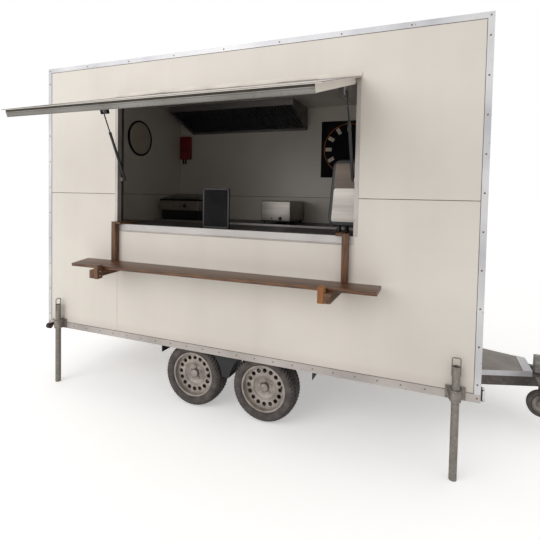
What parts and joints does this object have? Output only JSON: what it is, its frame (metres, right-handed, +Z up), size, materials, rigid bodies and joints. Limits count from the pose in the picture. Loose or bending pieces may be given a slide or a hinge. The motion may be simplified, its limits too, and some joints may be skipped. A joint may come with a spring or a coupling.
{
  "type": "food trailer",
  "caption": "Food trailer: a cream panel box on tandem axles with a top-hinged serving hatch on gas struts, a hook-on wooden shelf, a drawbar deck, a jockey wheel and prop legs.",
  "frame": {"origin": "centre of the tow ball in the coupling's socket, 459 mm above the ground", "axes": "+X the way it is towed, +Y its left, away from the serving side, +Z up"},
  "size_m": [4.934, 3.219, 2.882],
  "materials": {
    "panel": "cream glass-fibre gel coat, dusty",
    "aluminium_trim": "mill-finish extrusion",
    "steel_frame": "hot-dip galvanised",
    "black_steel": "black paint",
    "tyre": "dusty black",
    "rim": "silver-grey paint, dusty",
    "black_plastic": "moulded",
    "wood": "dark-stained",
    "worktop": "laminate",
    "stainless": "brushed",
    "deck": "weathered",
    "lamp": "moulded lens",
    "board": "painted board"
  },
  "bodies": {
    "trailer": {"floor_panel": "panel", "roof_panel": "panel", "serving_wall_lower": "panel", "serving_wall_upper": "panel", "far_wall_lower": "panel", "far_wall_upper": "panel", "rear_wall_lower": "panel", "rear_wall_upper": "panel", "front_wall_lower": "panel", "front_wall_upper": "panel", "edge_trims": "aluminium_trim", "skirt_rails": "aluminium_trim", "window_frame": "aluminium_trim", "sill_cap": "aluminium_trim", "deck_edging": "aluminium_trim", "door_frame": "aluminium_trim", "chassis_rails": "steel_frame", "cross_members": "steel_frame", "axle_tubes": "steel_frame", "swing_arms": "steel_frame", "drawbar_arms": "steel_frame", "coupling": "steel_frame", "jockey_clamp": "steel_frame", "leg_clamps": "steel_frame", "mudguards": "black_plastic", "shelf_plank": "wood", "shelf_brackets": "wood", "worktops": "worktop", "cupboards": "worktop", "extractor_hood": "stainless", "cooking_appliances": "stainless", "coffee_machine": "stainless", "deck_board": "deck", "marker_lamps": "lamp", "tail_lamps": "lamp", "wall_boards": "board"},
    "hatch": {"hatch_panel": "panel", "hatch_trim": "aluminium_trim"},
    "strut_cylinder_rear": {"strut_cylinder_rear": "black_steel"},
    "strut_rod_rear": {"strut_rod_rear": "black_steel"},
    "strut_cylinder_front": {"strut_cylinder_front": "black_steel"},
    "strut_rod_front": {"strut_rod_front": "black_steel"},
    "door": {"door_panel": "panel", "door_fittings": "black_steel"},
    "jockey_tube": {"jockey_tube": "steel_frame"},
    "jockey_fork": {"jockey_fork": "steel_frame"},
    "jockey_wheel": {"jockey_wheel": "tyre"},
    "wheel_rear_left": {"rim_rear_left": "rim", "tyre_rear_left": "tyre"},
    "wheel_rear_right": {"rim_rear_right": "rim", "tyre_rear_right": "tyre"},
    "wheel_front_left": {"rim_front_left": "rim", "tyre_front_left": "tyre"},
    "wheel_front_right": {"rim_front_right": "rim", "tyre_front_right": "tyre"},
    "leg_rear_left": {"leg_rear_left": "steel_frame"},
    "leg_rear_right": {"leg_rear_right": "steel_frame"},
    "leg_front_left": {"leg_front_left": "steel_frame"},
    "leg_front_right": {"leg_front_right": "steel_frame"}
  },
  "joints": [
    {"name": "wheel_rear_left_spin", "type": "hinge", "parent": "trailer", "child": "wheel_rear_left", "pos_m": [-3.304, 0.9175, -0.1965], "axis": [0, 1, 0], "continuous": true},
    {"name": "wheel_rear_right_spin", "type": "hinge", "parent": "trailer", "child": "wheel_rear_right", "pos_m": [-3.304, -0.9175, -0.1965], "axis": [0, 1, 0], "continuous": true},
    {"name": "wheel_front_left_spin", "type": "hinge", "parent": "trailer", "child": "wheel_front_left", "pos_m": [-2.674, 0.9175, -0.1965], "axis": [0, 1, 0], "continuous": true},
    {"name": "wheel_front_right_spin", "type": "hinge", "parent": "trailer", "child": "wheel_front_right", "pos_m": [-2.674, -0.9175, -0.1965], "axis": [0, 1, 0], "continuous": true},
    {"name": "hatch_swing", "type": "hinge", "parent": "trailer", "child": "hatch", "pos_m": [-3.018, -1.0745, 2.101], "axis": [1, 0, 0], "range_deg": [0, 73.35]},
    {"name": "strut_rear_swing", "type": "hinge", "parent": "trailer", "child": "strut_cylinder_rear", "pos_m": [-4.012, -1.005, 1.411], "axis": [1, 0, 0], "range_deg": [-27.6, 0]},
    {"name": "strut_rear_slide", "type": "slide", "parent": "strut_cylinder_rear", "child": "strut_rod_rear", "axis": [0, -0.4306, 0.9025], "range_m": [-0.138, 0]},
    {"name": "strut_front_swing", "type": "hinge", "parent": "trailer", "child": "strut_cylinder_front", "pos_m": [-2.024, -1.005, 1.411], "axis": [1, 0, 0], "range_deg": [-27.6, 0]},
    {"name": "strut_front_slide", "type": "slide", "parent": "strut_cylinder_front", "child": "strut_rod_front", "axis": [0, -0.4306, 0.9025], "range_m": [-0.138, 0]},
    {"name": "leg_rear_left_slide", "type": "slide", "parent": "trailer", "child": "leg_rear_left", "axis": [0, 0, 1], "range_m": [0, 0.35]},
    {"name": "leg_rear_right_slide", "type": "slide", "parent": "trailer", "child": "leg_rear_right", "axis": [0, 0, 1], "range_m": [0, 0.35]},
    {"name": "leg_front_left_slide", "type": "slide", "parent": "trailer", "child": "leg_front_left", "axis": [0, 0, 1], "range_m": [0, 0.35]},
    {"name": "leg_front_right_slide", "type": "slide", "parent": "trailer", "child": "leg_front_right", "axis": [0, 0, 1], "range_m": [0, 0.35]},
    {"name": "door_swing", "type": "hinge", "parent": "trailer", "child": "door", "pos_m": [-1.176, 0.763, 1.14], "axis": [0, 0, 1], "range_deg": [0, 100]},
    {"name": "jockey_slide", "type": "slide", "parent": "trailer", "child": "jockey_tube", "axis": [0, 0, 1], "range_m": [-0.129, 0]},
    {"name": "jockey_swivel", "type": "hinge", "parent": "jockey_tube", "child": "jockey_fork", "pos_m": [-0.678, -0.28, -0.118], "axis": [0, 0, 1], "continuous": true},
    {"name": "jockey_spin", "type": "hinge", "parent": "jockey_fork", "child": "jockey_wheel", "pos_m": [-0.698, -0.28, -0.23], "axis": [0, 1, 0], "continuous": true}
  ],
  "couplings": [
    {"joint": "strut_rear_swing", "follows": "hatch_swing", "ratio": -0.37373},
    {"joint": "strut_rear_slide", "follows": "hatch_swing", "m_per_rad": -0.10695},
    {"joint": "strut_front_swing", "follows": "hatch_swing", "ratio": -0.37373},
    {"joint": "strut_front_slide", "follows": "hatch_swing", "m_per_rad": -0.10695}
  ]
}
